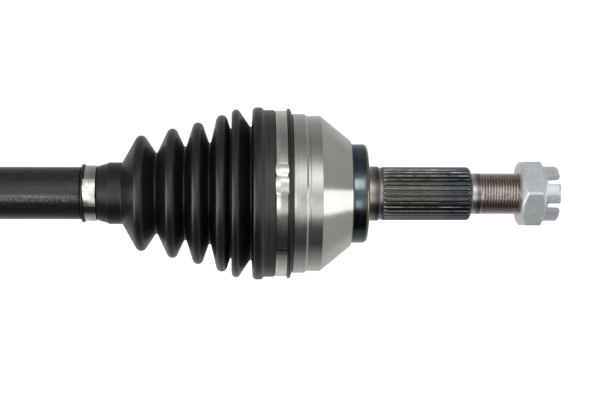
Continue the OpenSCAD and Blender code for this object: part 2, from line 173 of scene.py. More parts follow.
def corner_arc(a, b, c, radius, steps):
    """Points of the arc that rounds corner b between a and c."""
    a, b, c = (np.array(p[:2], float) for p in (a, b, c))
    u, v = (a - b) / np.linalg.norm(a - b), (c - b) / np.linalg.norm(c - b)
    half = math.acos(max(-1.0, min(1.0, float(u @ v)))) / 2
    shorter = min(np.linalg.norm(a - b), np.linalg.norm(c - b))
    reach = min(radius / math.tan(half), 0.48 * shorter)
    radius = reach * math.tan(half)
    centre = b + (u + v) / np.linalg.norm(u + v) * radius / math.sin(half)
    p, q = b + u * reach - centre, b + v * reach - centre
    start = math.atan2(p[1], p[0])
    sweep = (math.atan2(q[1], q[0]) - start + math.pi) % FULL - math.pi
    return [
        tuple(centre + radius * np.array([math.cos(t), math.sin(t)]))
        for t in np.linspace(start, start + sweep, steps + 1)
    ]


def rounded(path, steps=6):
    """An outline of (x, r) or (x, r, fillet) points, with its marked corners rounded."""
    out = []
    for i, p in enumerate(path):
        if len(p) > 2 and 0 < i < len(path) - 1:
            out += corner_arc(path[i - 1], p, path[i + 1], p[2], steps)
        else:
            out.append((float(p[0]), float(p[1])))
    return out


def folded(folds, inset=0.0, steps=12):
    """The line that runs round the tips of a bellows' folds, from the second fold to the last but one.
    A fold is (x, radius of its tip, tip radius), with a negative tip radius at a root.
    inset moves the line towards the axle. Over a crest's tip radius it leaves a small loop there."""
    centres = [np.array([x, r - tip]) for x, r, tip in folds]
    headings = []
    for p, q, a, b in zip(centres, centres[1:], folds, folds[1:]):
        along = q - p
        headings.append(math.atan2(along[1], along[0]) - math.asin((a[2] - b[2]) / np.linalg.norm(along)))
    out = []
    for i in range(1, len(folds) - 1):
        for a in np.linspace(headings[i - 1], headings[i], steps + 1):
            out.append(tuple(centres[i] + (folds[i][2] - inset) * np.array([-math.sin(a), math.cos(a)])))
    return out


def fill_steps(path, longest):
    """The outline with its long straight stretches split, so that no step is over longest."""
    out = [path[0]]
    for p, q in zip(path, path[1:]):
        n = max(1, math.ceil(math.dist(p, q) / longest))
        out += [tuple(np.array(p) + (np.array(q) - np.array(p)) * k / n) for k in range(1, n + 1)]
    return out


# ---------------- meshes

def new_piece(name, verts, faces, sharp=32):
    """A closed, smooth-shaded mesh object from points in mm, with edges over the sharp angle kept crisp."""
    mesh = bpy.data.meshes.new(name)
    mesh.from_pydata((np.asarray(verts, float) * MM).tolist(), [], faces)
    work = bmesh.new()
    work.from_mesh(mesh)
    bmesh.ops.remove_doubles(work, verts=work.verts, dist=1e-7)
    bmesh.ops.dissolve_degenerate(work, edges=work.edges, dist=1e-7)
    bmesh.ops.recalc_face_normals(work, faces=work.faces)
    work.to_mesh(mesh)
    work.free()
    piece = placed(name, mesh)
    smooth(piece, sharp)
    return piece


def smooth(piece, sharp=32):
    piece.data.shade_smooth()
    piece.data.set_sharp_from_angle(angle=math.radians(sharp))


def even(count):
    return np.linspace(0, FULL, count, endpoint=False)


def on_axle(x, r, angle):
    return np.stack([x + 0 * angle, -r * np.cos(angle), r * np.sin(angle)], -1)


def turned(name, outline, around=192, closed=False, shape=None, sharp=32):
    """Revolves (x, r) points about the axle. shape(x, r, angles) may change the radius round each station.
    A closed outline makes a tube, and an open one starts and ends on the axis."""
    angles = even(around) if isinstance(around, int) else np.asarray(around)
    n = len(angles)
    verts, rings = [], []
    for x, r in outline:
        if r < 1e-6:
            rings.append([len(verts)])
            verts.append((x, 0, 0))
            continue
        radii = r + 0 * angles if shape is None else shape(x, r, angles)
        rings.append(list(range(len(verts), len(verts) + n)))
        verts += on_axle(x, radii, angles).tolist()
    faces = []
    pairs = list(zip(rings, rings[1:] + rings[:1] if closed else rings[1:]))
    for a, b in pairs:
        for i in range(n):
            k = (i + 1) % n
            if len(a) == 1:
                faces.append((a[0], b[i], b[k]))
            elif len(b) == 1:
                faces.append((a[i], b[0], a[k]))
            else:
                faces.append((a[i], b[i], b[k], a[k]))
    return new_piece(name, verts, faces, sharp)


def swept(name, sections, sharp=32):
    """A closed solid through rings of points, all with the same count, capped at both ends."""
    count = len(sections[0])
    verts = np.concatenate([np.asarray(s, float) for s in sections])
    faces = []
    for i in range(len(sections) - 1):
        for k in range(count):
            m = (k + 1) % count
            faces.append((i * count + k, (i + 1) * count + k, (i + 1) * count + m, i * count + m))
    last = (len(sections) - 1) * count
    faces += [tuple(range(count)), tuple(last + k for k in reversed(range(count)))]
    return new_piece(name, verts, faces, sharp)


def strip(name, x0, x1, inner, thickness, start, end, edge=0.18, lift=None, edges=None, steps=None):
    """A piece of flat band bent round the axle between two angles in degrees, with rounded edges.
    lift(degrees) raises it, and edges(degrees) moves its two sides by (left, right)."""
    count = steps or max(2, int(abs(end - start) / 1.5))
    sections = []
    for degrees in np.linspace(start, end, count + 1):
        up = lift(degrees) if lift else 0
        left, right = edges(degrees) if edges else (0, 0)
        a, b = x0 + left, x1 + right
        low_r, high_r = inner + up, inner + up + thickness
        loop = [
            (a + edge, low_r), (b - edge, low_r), (b, low_r + edge), (b, high_r - edge),
            (b - 0.3 * edge, high_r - 0.3 * edge), (b - edge, high_r), (a + edge, high_r),
            (a + 0.3 * edge, high_r - 0.3 * edge), (a, high_r - edge), (a, low_r + edge),
        ]
        angle = np.array(math.radians(degrees))
        sections.append([on_axle(x, r, angle) for x, r in loop])
    return swept(name, sections)


def apply_modifiers(piece):
    bpy.context.view_layer.update()
    shown = piece.evaluated_get(bpy.context.evaluated_depsgraph_get())
    mesh = bpy.data.meshes.new_from_object(shown)
    piece.modifiers.clear()
    piece.data = mesh


def carve(piece, tools, sharp=32):
    """Cuts the tools out of the piece and deletes them."""
    for tool in tools:
        step = piece.modifiers.new("cut", "BOOLEAN")
        step.operation = "DIFFERENCE"
        step.object = tool
        step.solver = "MANIFOLD"
    apply_modifiers(piece)
    for tool in tools:
        bpy.data.objects.remove(tool)
    smooth(piece, sharp)


def bevel(piece, width, segments, over):
    step = piece.modifiers.new("bevel", "BEVEL")
    step.width = width * MM
    step.segments = segments
    step.limit_method = "ANGLE"
    step.angle_limit = math.radians(over)
    step.harden_normals = False
    apply_modifiers(piece)


def joined(name, parts):
    """One object from several, with the first one's materials."""
    bpy.ops.object.select_all(action="DESELECT")
    for part in parts:
        part.select_set(True)
    bpy.context.view_layer.objects.active = parts[0]
    bpy.ops.object.join()
    parts[0].name = name
    return parts[0]


# ---------------- materials

class Nodes:
    """A short way to write a node tree."""

    def __init__(self, tree):
        self.tree = tree
        tree.nodes.clear()

    def node(self, kind, **values):
        made = self.tree.nodes.new(kind)
        for key, value in values.items():
            setattr(made, key, value)
        return made

    def link(self, a, b):
        self.tree.links.new(a, b)

    def feed(self, value, socket):
        if isinstance(value, bpy.types.NodeSocket):
            self.link(value, socket)
        else:
            socket.default_value = value

    def math(self, operation, a, b=0.0, c=0.0, clamp=False):
        made = self.node("ShaderNodeMath", operation=operation, use_clamp=clamp)
        for value, socket in zip((a, b, c), made.inputs):
            self.feed(value, socket)
        return made.outputs[0]

    def times(self, a, b):
        return self.math("MULTIPLY", a, b)

    def plus(self, a, b):
        return self.math("ADD", a, b)

    def vector(self, operation, a, b=None, scale=None):
        made = self.node("ShaderNodeVectorMath", operation=operation)
        self.feed(a, made.inputs[0])
        if b is not None:
            self.feed(b, made.inputs[1])
        if scale is not None:
            self.feed(scale, made.inputs["Scale"])
        return made.outputs[0]

    def range(self, value, a, b, c=0.0, d=1.0, steps="LINEAR"):
        made = self.node("ShaderNodeMapRange", interpolation_type=steps)
        for v, key in ((value, "Value"), (a, "From Min"), (b, "From Max"), (c, "To Min"), (d, "To Max")):
            self.feed(v, made.inputs[key])
        return made.outputs["Result"]

    def ramp(self, value, stops):
        """Colours or numbers at places: stops are (place, colour or number) in rising order."""
        first, last = stops[0][0], stops[-1][0]
        made = self.node("ShaderNodeValToRGB")
        self.link(self.range(value, first, last), made.inputs[0])
        band = made.color_ramp
        while len(band.elements) < len(stops):
            band.elements.new(0.5)
        for element, (place, colour) in zip(band.elements, stops):
            element.position = (place - first) / (last - first)
            element.color = (*colour, 1) if isinstance(colour, tuple) else (colour,) * 3 + (1,)
        return made.outputs[0]

    def mix(self, share, a, b):
        made = self.node("ShaderNodeMix", data_type="RGBA")
        for value, key in ((share, 0), (a, 6), (b, 7)):
            value = (*value, 1) if isinstance(value, tuple) else value
            self.feed(value, made.inputs[key])
        return made.outputs[2]

    def blend(self, share, a, b):
        """A number that goes from a to b as share goes from 0 to 1."""
        made = self.node("ShaderNodeMix", data_type="FLOAT")
        for value, key in ((share, 0), (a, 2), (b, 3)):
            self.feed(value, made.inputs[key])
        return made.outputs[0]

    def window(self, value, start, full, last, end):
        """1 between full and last, falling smoothly to 0 at start and end."""
        rise = self.range(value, start, full, steps="SMOOTHSTEP")
        fall = self.range(value, last, end, 1.0, 0.0, steps="SMOOTHSTEP")
        return self.times(rise, fall)


class Shader(Nodes):
    """A node material. Every coordinate is the object's own, in mm."""

    def __init__(self, name):
        self.material = bpy.data.materials.new(name)
        self.material.use_nodes = True
        super().__init__(self.material.node_tree)
        out = self.node("ShaderNodeOutputMaterial")
        self.surface = self.node("ShaderNodeBsdfPrincipled")
        self.link(self.surface.outputs[0], out.inputs[0])
        place = self.node("ShaderNodeTexCoord").outputs["Object"]
        self.place = self.vector("SCALE", place, scale=1 / MM)
        split = self.node("ShaderNodeSeparateXYZ")
        self.link(self.place, split.inputs[0])
        self.x, self.y, self.z = split.outputs
        squares = [self.times(value, value) for value in (self.y, self.z)]
        self.r = self.math("SQRT", self.plus(*squares))
        front = self.times(self.y, -1.0)
        self.degrees = self.times(self.math("ARCTAN2", self.z, front), 180 / math.pi)

    def stretched(self, sx, sy, sz):
        """The coordinates scaled along each axis, for noise with a direction."""
        return self.vector("MULTIPLY", self.place, (sx, sy, sz))

    def noise(self, scale, detail=3.0, rough=0.5, at=None, w=None):
        """Noise from 0 to 1. w makes it one-dimensional along that value."""
        made = self.node("ShaderNodeTexNoise")
        if w is not None:
            made.noise_dimensions = "1D"
            self.feed(w, made.inputs["W"])
        else:
            self.link(at or self.place, made.inputs["Vector"])
        made.inputs["Scale"].default_value = scale
        made.inputs["Detail"].default_value = detail
        made.inputs["Roughness"].default_value = rough
        return made.outputs["Fac"]

    def tinted(self, colour, share, amount):
        """The colour, darker or lighter with share, by up to amount either way."""
        if isinstance(amount, (int, float)):
            low_end, high_end = 1 - amount, 1 + amount
        else:
            low_end, high_end = self.math("SUBTRACT", 1.0, amount), self.plus(1.0, amount)
        return self.vector("SCALE", colour, scale=self.range(share, 0.25, 0.75, low_end, high_end))

    def bump(self, height, depth, below=None):
        """Bump of that depth in mm, on top of an earlier one."""
        made = self.node("ShaderNodeBump")
        made.inputs["Strength"].default_value = 1
        made.inputs["Distance"].default_value = depth * MM
        self.link(height, made.inputs["Height"])
        if below is not None:
            self.link(below, made.inputs["Normal"])
        return made.outputs[0]

    def finish(self, colour, roughness, metallic, bumps, **plain):
        """Feeds the surface. bumps are (height, depth in mm), the lowest first.
        plain holds inputs that are the same all over."""
        normal = None
        for height, depth in bumps:
            normal = self.bump(height, depth, normal)
        for value, key in ((colour, "Base Color"), (roughness, "Roughness")):
            value = (*value, 1) if isinstance(value, tuple) else value
            self.feed(value, self.surface.inputs[key])
        self.surface.inputs["Metallic"].default_value = metallic
        self.link(normal, self.surface.inputs["Normal"])
        for key, value in plain.items():
            self.surface.inputs[key.replace("_", " ")].default_value = value
        return self.material


def turned_metal(
    name, colour, rough, lines=0.5, fine=3.0, cloudy=0.05, stain=None, grain=0.001, teeth=0, patches=()
):
    """Metal from a lathe: rings of fine feed marks, soft stains and small changes of shine.
    colour, rough and lines are each one value, or stops along X. lines is how strong the feed marks are.
    With teeth, the gaps between them carry painted shade, and the tops' edges a painted highlight on the front
    only.
    patches are highlights and shade painted where the photograph has them, fixed on the part:
    start and end along X, start and end in degrees, and their colour."""
    s = Shader(name)
    along = s.plus(s.x, s.times(s.r, 0.77))
    feed = s.noise(fine, 4, 0.62, w=along)
    slow = s.noise(0.35, 3, 0.6, w=along)
    cloud = s.noise(0.06, 5, 0.6)
    smear = s.noise(0.5, 4, 0.65)
    speck = s.noise(1.6, 3, 0.7)
    base = s.ramp(s.x, colour) if isinstance(colour, list) else s.mix(0.0, colour, colour)
    strength = s.ramp(s.x, lines) if isinstance(lines, list) else s.blend(0.0, lines, lines)
    base = s.tinted(base, feed, s.times(strength, 0.34))
    base = s.tinted(base, slow, s.times(strength, 0.10))
    base = s.tinted(base, cloud, cloudy)
    base = s.tinted(base, smear, 0.5 * cloudy)
    if stain is not None:
        base = s.mix(s.range(smear, 0.45, 0.72, 0.0, 0.75), base, stain)
    # Each patch paints a highlight or shade onto the part at its place.
    for x0, x1, low_end, high_end, tone in patches:
        patch = s.window(s.degrees, low_end - 6, low_end, high_end, high_end + 6)
        patch = s.times(patch, s.window(s.x, x0, x0 + 1.2, x1 - 1.8, x1))
        base = s.mix(s.times(patch, s.range(slow, 0.35, 0.6, 0.6, 1.0)), base, tone)
    if teeth:
        pitch = 360 / teeth
        place = s.math("PINGPONG", s.degrees, pitch / 2)
        toothed = s.range(s.x, SPLINE_END - 1.3, SPLINE_END - 0.5, 1.0, 0.0)
        # A painted highlight on the teeth's top edges, on the front only, broken up by noise.
        edge_highlight = s.window(place, 0.14 * pitch, 0.18 * pitch, 0.20 * pitch, 0.25 * pitch)
        edge_highlight_noise = s.range(s.noise(0.5, 4, 0.7, at=s.stretched(0.25, 1.5, 1.5)), 0.40, 0.60, 0.05, 1.0)
        # The floors between the teeth are painted dark, as their shade.
        gap_shade = s.range(place, 0.30 * pitch, 0.38 * pitch, 0.0, 0.20)
        base = s.mix(s.times(gap_shade, toothed), base, (0.02, 0.022, 0.022))
        edge_highlight = s.times(s.times(edge_highlight, edge_highlight_noise), toothed)
        edge_highlight = s.times(edge_highlight, s.window(s.degrees, -50, -25, 60, 75))
        base = s.mix(edge_highlight, base, (0.85, 0.84, 0.80))
    rough_value = s.ramp(s.x, rough) if isinstance(rough, list) else rough
    rough_value = s.plus(rough_value, s.range(smear, 0.3, 0.7, -0.025, 0.04))
    rough_value = s.math("ADD", rough_value, s.range(slow, 0.3, 0.7, -0.02, 0.03), clamp=True)
    return s.finish(base, rough_value, 1.0, [(s.times(feed, strength), 0.006), (speck, grain)])


def rubber_material():
    """Moulded black rubber: glossy in places, faintly mottled and scuffed, with fine mould lines."""
    s = Shader("boot_rubber")
    cloud = s.noise(0.06, 5, 0.6)
    fine = s.noise(1.1, 4, 0.65)
    grit = s.noise(6.0, 2, 0.6)
    scuff = s.noise(0.35, 5, 0.7)
    rings = s.noise(0.9, 3, 0.55, w=s.plus(s.x, s.times(s.r, 0.5)))
    # The flat beside the large clamp is lighter, in rings.
    lighter_flat = s.window(s.x, -58.5, -56.0, BAND_X, BAND_X + 1)
    base = s.mix(s.range(cloud, 0.3, 0.7), (0.0085, 0.0100, 0.0085), (0.0150, 0.0165, 0.0145))
    base = s.mix(s.range(fine, 0.55, 0.8, 0.0, 0.30), base, (0.035, 0.037, 0.034))
    base = s.mix(s.range(scuff, 0.60, 0.75, 0.0, 0.35), base, (0.045, 0.046, 0.042))
    lighter_flat = s.times(lighter_flat, s.range(rings, 0.35, 0.60, 0.25, 1.0))
    base = s.mix(lighter_flat, base, (0.055, 0.054, 0.048))
    roughness = s.plus(s.range(cloud, 0.3, 0.7, 0.28, 0.38), s.range(fine, 0.35, 0.7, -0.03, 0.05))
    roughness = s.plus(roughness, s.range(scuff, 0.58, 0.75, 0.0, 0.10))
    return s.finish(
        base, roughness, 0.0, [(rings, 0.035), (fine, 0.008), (grit, 0.003)],
        Specular_IOR_Level=0.55, Specular_Tint=(0.92, 1.0, 0.93, 1),
    )


def paint_material():
    """Satin black paint: a fine orange-peel, light scuffs and a grainy highlight streak painted along the front.
    """
    s = Shader("bar_paint")
    cloud = s.noise(0.08, 4, 0.55)
    scuff = s.noise(1.0, 5, 0.72, at=s.stretched(0.10, 1.6, 1.6))
    streak_grain = s.noise(1.9, 3, 0.65, at=s.stretched(0.55, 1.0, 1.0))
    peel = s.noise(1.5, 3, 0.6)
    base = s.mix(s.range(cloud, 0.3, 0.7), (0.012, 0.0145, 0.014), (0.021, 0.024, 0.023))
    base = s.mix(s.range(scuff, 0.56, 0.72, 0.0, 0.6), base, (0.10, 0.10, 0.094))
    # A painted highlight streak along the bar's front, broken up by grain.
    highlight_streak = s.window(s.degrees, -24, -16, -8, -3)
    base = s.mix(s.times(highlight_streak, s.range(streak_grain, 0.46, 0.62, 0.0, 0.8)), base, (0.26, 0.26, 0.245))
    roughness = s.plus(s.range(cloud, 0.3, 0.7, 0.16, 0.24), s.range(scuff, 0.5, 0.75, 0.0, 0.2))
    return s.finish(
        base, roughness, 0.0, [(peel, 0.018), (scuff, 0.008)],
        Specular_IOR_Level=0.6, Specular_Tint=(0.93, 1.0, 0.98, 1),
    )


# Light and dark painted round the clamps' strip, to follow what the photograph shows:
# degrees up from the front, and the share of full brightness
BAND_SHADE = [
    (-180, 0.70), (-100, 0.80), (-68, 0.95), (-52, 0.85), (-46, 0.62), (-44.5, 0.30), (-36, 0.36),
    (-17, 0.42), (-11, 0.58), (-6, 0.56), (-3, 0.40), (1, 0.48), (6, 0.84), (11, 0.90), (13, 1.0),
    (19.4, 1.0), (20.2, 0.66), (45, 0.62), (75, 0.85), (180, 0.70),
]
SMALL_BAND_SHADE = [
    (-180, 0.62), (-60, 0.68), (-48, 0.66), (-45, 0.24), (-29, 0.20), (-27.5, 0.95), (-5, 1.0), (14, 1.0),
    (29, 0.95), (31, 0.55), (60, 0.55), (180, 0.62),
]


def band_material():
    """Rolled stainless strip: lightly dented, rough on the overlap, with painted light and dark."""
    s = Shader("clamp_band")
    drawn = s.noise(1.0, 4, 0.65, at=s.stretched(4.5, 0.25, 0.25))
    smear = s.noise(0.22, 4, 0.6)
    dents = s.noise(0.55, 2, 0.5)
    mottle = s.noise(0.8, 4, 0.65)
    stamp = s.noise(2.2, 5, 0.75)
    large = s.range(s.r, 30, 31)
    shade = s.blend(large, s.ramp(s.degrees, SMALL_BAND_SHADE), s.ramp(s.degrees, BAND_SHADE))
    base = s.mix(s.range(smear, 0.35, 0.75), (0.64, 0.635, 0.61), (0.56, 0.55, 0.52))
    base = s.vector("SCALE", base, scale=s.times(shade, 1.55))
    base = s.tinted(base, mottle, s.times(large, 0.10))
    stamped = s.times(large, s.window(s.degrees, -41.0, -36.0, -16.0, -12.0))
    marks = s.range(stamp, 0.40, 0.60, 0.05, 0.80)
    base = s.mix(s.times(stamped, marks), base, (0.060, 0.054, 0.048))
    folded_end = s.window(s.degrees, -1.0, 1.0, 10.5, 12.5)
    folded_end = s.times(folded_end, s.range(mottle, 0.52, 0.66, 0.0, 0.6))
    base = s.mix(folded_end, base, (0.30, 0.30, 0.28))
    # A painted shadow line on the overlap, just past the hooks.
    gap_shade = s.window(s.degrees, -42.4, -42.0, -41.2, -40.8)
    gap_shade = s.times(gap_shade, s.range(s.r, CLAMP_TOP + 0.1, CLAMP_TOP + 0.15))
    base = s.mix(gap_shade, base, (0.06, 0.057, 0.053))
    roughness = s.plus(s.range(smear, 0.3, 0.7, 0.15, 0.24), s.range(drawn, 0.3, 0.7, -0.04, 0.06))
    roughness = s.plus(roughness, s.times(stamped, 0.12))
    bumps = [(dents, 0.014), (s.times(stamped, stamp), 0.07), (drawn, 0.006)]
    return s.finish(base, roughness, 1.0, bumps)


def zinc_material():
    """Bright zinc plate: cool and slightly cloudy, with a soft grain that scatters the light.
    The crown carries painted shade below the middle of its front."""
    s = Shader("zinc_plate")
    cloud = s.noise(0.25, 4, 0.6)
    grain = s.noise(3.5, 4, 0.65)
    lay = s.noise(1.0, 3, 0.6, at=s.stretched(0.3, 3.0, 3.0))
    base = s.mix(s.range(cloud, 0.3, 0.7), (0.74, 0.80, 0.82), (0.85, 0.89, 0.90))
    base = s.tinted(base, grain, 0.05)
    base = s.tinted(base, lay, 0.06)
    # Painted shade on the crown's front, below its middle.
    crown_shade_band = s.window(s.degrees, -24, -19, -7, 1)
    crown = s.times(s.range(s.x, HEX_END + 0.3, HEX_END + 1.1), crown_shade_band)
    base = s.mix(s.times(crown, s.range(lay, 0.35, 0.6, 0.4, 0.85)), base, (0.30, 0.31, 0.32))
    roughness = s.plus(s.range(cloud, 0.3, 0.7, 0.26, 0.36), s.range(grain, 0.3, 0.7, -0.04, 0.05))
    return s.finish(base, roughness, 0.42, [(grain, 0.003), (lay, 0.006)])


def polished_material():
    s = Shader("polished_steel")
    smear = s.noise(0.5, 4, 0.6)
    base = s.mix(s.range(smear, 0.3, 0.7), (0.72, 0.73, 0.74), (0.64, 0.63, 0.60))
    roughness = s.range(smear, 0.3, 0.7, 0.06, 0.16)
    return s.finish(base, roughness, 1.0, [(s.noise(3.0, 3), 0.001)])


BELL_COLOUR = [
    (-52.0, (0.490, 0.497, 0.457)),
    (-33.3, (0.585, 0.590, 0.552)),
    (-25.2, (0.600, 0.605, 0.572)),
    (-9.2, (0.590, 0.585, 0.552)),
    (-8.7, (0.080, 0.098, 0.104)),
    (-5.0, (0.105, 0.145, 0.155)),
    (-2.4, (0.100, 0.125, 0.130)),
    (-1.3, (0.150, 0.145, 0.120)),
    (-0.5, (0.40, 0.345, 0.265)),
    (0.3, (0.46, 0.385, 0.320)),
    (1.6, (0.42, 0.395, 0.365)),
    (3.4, (0.24, 0.235, 0.215)),
    (4.8, (0.11, 0.108, 0.100)),
    (5.8, (0.15, 0.148, 0.138)),
    (6.6, (0.36, 0.36, 0.34)),
    (8.0, (0.20, 0.20, 0.19)),
]
BELL_ROUGH = [
    (-52.0, 0.21), (-33.2, 0.20), (-32.6, 0.14), (-25.4, 0.14), (-25.0, 0.12),
    (-9.0, 0.12), (-8.6, 0.09), (-0.8, 0.13), (0.0, 0.20), (8.0, 0.24),
]
BELL_LINES = [
    (-52.0, 0.7), (-33.2, 0.75), (-32.8, 0.55), (-25.4, 0.5), (-24.8, 0.10), (-9.2, 0.08),
    (-8.6, 0.30), (-1.0, 0.30), (0.0, 0.25), (8.0, 0.25),
]
# Painted highlights and painted shade on the collar's front: start and end along X, start and end in degrees, and
# colour.
COLLAR_PAINTED_LIGHT = [
    (-8.6, -2.2, 8, 13, (0.36, 0.43, 0.45)),
    (-8.0, -3.2, -14, -11, (0.26, 0.32, 0.33)),
    (-8.9, -1.3, -44, -23, (0.034, 0.040, 0.040)),
    (-8.9, -1.3, 24, 40, (0.075, 0.095, 0.100)),
]
SPLINE_COLOUR = [
    (6.0, (0.30, 0.30, 0.28)),
    (9.5, (0.17, 0.168, 0.152)),
    (20.0, (0.125, 0.125, 0.112)),
    (38.0, (0.130, 0.130, 0.116)),
    (44.0, (0.085, 0.095, 0.105)),
    (53.5, (0.075, 0.092, 0.104)),
    (55.2, (0.12, 0.13, 0.135)),
    (56.4, (0.62, 0.62, 0.61)),
    (58.0, (0.52, 0.50, 0.48)),
    (58.6, (0.26, 0.24, 0.22)),
    (60.6, (0.20, 0.17, 0.15)),
]

MATERIALS = {
    "turned_steel": turned_metal(
        "turned_steel", BELL_COLOUR, BELL_ROUGH, BELL_LINES, cloudy=0.07, patches=COLLAR_PAINTED_LIGHT
    ),
    "spline_steel": turned_metal("spline_steel", SPLINE_COLOUR, 0.18, 0.15, cloudy=0.14, teeth=SPLINE_TEETH),
    "thread_steel": turned_metal("thread_steel", (0.50, 0.450, 0.400), 0.10, 0.1, stain=(0.16, 0.165, 0.14)),
    "forged_steel": turned_metal("forged_steel", (0.36, 0.355, 0.335), 0.30, 0.4, fine=2.2),
    "ground_steel": turned_metal("ground_steel", (0.50, 0.50, 0.49), 0.20, 0.2),
    "phosphated_steel": turned_metal("phosphated_steel", (0.10, 0.10, 0.10), 0.45, 0.1, grain=0.006),
    "spring_steel": turned_metal("spring_steel", (0.16, 0.165, 0.17), 0.30, 0.1),
    "polished_steel": polished_material(),
    "clamp_band": band_material(),
    "zinc_plate": zinc_material(),
    "boot_rubber": rubber_material(),
    "bar_paint": paint_material(),
}


def dress(piece, body, slot, replaced=(), material=None):
    """Gives a new piece its material, its body and the CAD nodes that it stands for."""
    piece.data.materials.clear()
    piece.data.materials.append(MATERIALS[material or slot])
    if body is not None:
        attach(piece, body)
    if replaced:
        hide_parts(*replaced)


# ---------------- outer joint

def ball_track(i):
    """The cutter for one ball track: a tube bent about the joint centre."""
    across = math.radians(30 + 60 * i)
    out = np.array([0, -math.cos(across), math.sin(across)])
    side = np.cross(out, [1, 0, 0])
    centre = np.array([BALL_JOINT_X, 0, 0])
    sections = []
    for bend in np.radians(np.linspace(TRACK_OUT, TRACK_IN, 31)):
        radial = math.cos(bend) * out + math.sin(bend) * np.array([1, 0, 0])
        sections.append([
            centre + radial * (BALL_PITCH_R + TRACK_R * math.cos(t)) + side * TRACK_R * math.sin(t)
            for t in even(40)
        ])
    return swept(f"track_{i}", sections)


def make_bell():
    outline = rounded([
        (MOUTH_X, 0), (MOUTH_X, SEAT_R, 0.8), (BOOT_EDGE_X, SEAT_R), (BOOT_EDGE_X, BELL_R, 0.35),
        (-33.5, BELL_R, 0.3), (-33.0, BELL_R - 0.55, 0.15), (-32.6, BELL_R - 0.95, 0.15),
        (-31.65, BELL_R - 0.95, 0.1), (-31.35, BELL_R - 1.3, 0.1), (-31.05, BELL_R - 0.95, 0.1),
        (CONE_X, BELL_R - 0.95, 0.8), (CONE_END_X, CONE_END_R, 0.25),
        (CONE_END_X + 0.2, COLLAR_R + 0.3, 0.25), (CONE_END_X + 0.6, COLLAR_R, 0.2),
        (0, COLLAR_R, 2.4), (0, JOURNAL_R), (JOURNAL_END, JOURNAL_R, 0.25),
        (JOURNAL_END + 0.5, JOURNAL_R - 0.6, 0.3), (SPLINE_X, JOURNAL_R - 0.6), (SPLINE_X, 0),
    ])
    bell = turned("bell", fill_steps(outline, 4.0), around=288)
    wall = [
        (BALL_JOINT_X + POCKET_R * math.sin(t), POCKET_R * math.cos(t))
        for t in np.radians(np.linspace(-19.5, 51.8, 36))
    ]
    pocket_end = BALL_JOINT_X + POCKET_DEPTH
    mouth = [(MOUTH_X - 3, 0), (MOUTH_X - 3, 35.5), (MOUTH_X, POCKET_R + 1.8)]
    pocket = turned("pocket", mouth + wall + [(pocket_end, 0)])
    carve(bell, [pocket] + [ball_track(i) for i in range(6)])
    dress(bell, "outer_race", "turned_steel", ["outer_race"])


def tooth_angles(teeth, shares):
    """Angles round the axle at the same places in each tooth's pitch, so that its edges stay crisp."""
    pitch = FULL / teeth
    return np.array([(i + s) * pitch for i in range(teeth) for s in shares])


TOOTH = (-0.20, -0.17, 0.0, 0.17, 0.20, 0.27, 0.34, 0.38, 0.5, 0.62, 0.66, 0.73)


def groove_share(angles, teeth):
    """0 on a tooth's top, 1 on the floor between two teeth."""
    place = np.abs(((angles * teeth / FULL) + 0.5) % 1 - 0.5)
    return np.interp(place, [0, 0.17, 0.20, 0.34, 0.38, 0.5], [0, 0, 0.07, 0.90, 1, 1])


def splined(name, x0, x1, top, depth, teeth, start_fade, chamfer, path_end):
    """A splined length. Its grooves rise out of the metal over start_fade and its free end is chamfered."""
    free = 1 if x1 > x0 else -1

    def shape(x, r, angles):
        along = (x - x0) * free
        cut = depth * np.clip(along / start_fade, 0, 1) ** 0.55
        return np.minimum(r, top - cut * groove_share(angles, teeth))

    stations = [0, 0.15, 0.4, 0.8, 1.3, 1.9, 2.6, 3.3, 4.0, 8]
    length = abs(x1 - x0)
    stations = [t for t in stations if t < length - chamfer - 1]
    outline = [(x0, 0), (x0, top - 0.35)] + [(x0 + free * (t + 0.25), top) for t in stations]
    outline += [(x, top) for x in np.linspace(x0 + free * 12, x1 - free * (chamfer + 0.8), 8)]
    outline += rounded([
        (x1 - free * (chamfer + 0.7), top), (x1 - free * 0.6 * chamfer, top - 0.15 * chamfer, 0.8),
        (x1 - free * 0.2 * chamfer, top - 0.6 * chamfer, 0.4), (x1, top - 1.05 * chamfer),
    ])
    outline += path_end
    return turned(name, outline, around=tooth_angles(teeth, TOOTH), shape=shape, sharp=28)


def make_hub_spline():
    neck = rounded([
        (SPLINE_END, 12.2), (SPLINE_END + 0.5, THREAD_R - 0.05, 0.5), (THREAD_X, THREAD_R - 0.05),
        (THREAD_X, 0),
    ])
    piece = splined("hub_spline", SPLINE_X, SPLINE_END, SPLINE_R, SPLINE_DEPTH, SPLINE_TEETH, 2.6, 1.6, neck)
    dress(piece, "outer_race", "turned_steel", ["outer_race"], "spline_steel")


def make_hub_thread():
    """The helical thread, with its run-out at the neck and its chamfered end."""
    per_turn = 14

    def shape(x, r, angles):
        turn = ((x - THREAD_X) / THREAD_PITCH - angles / FULL) % 1
        v = np.abs(turn - 0.5) * 2
        depth = THREAD_DEPTH * np.clip((x - THREAD_X) / 1.4, 0, 1)
        cut = depth * np.interp(v, [0, 0.1, 0.6, 1], [1, 1, 0, 0])
        return np.minimum(r, THREAD_R - cut)

    rows = np.arange(THREAD_X, STUB_END - 0.01, THREAD_PITCH / per_turn)
    outline = [(THREAD_X, 0)] + [(x, min(THREAD_R, THREAD_R + (STUB_END - 1.2 - x))) for x in rows]
    outline += [(STUB_END, THREAD_R - 1.4), (STUB_END, 6.0), (STUB_END - 0.6, 4.0), (STUB_END - 3.0, 0)]
    piece = turned("hub_thread", outline, around=120, shape=shape, sharp=50)
    dress(piece, "outer_race", "turned_steel", ["outer_race"], "thread_steel")


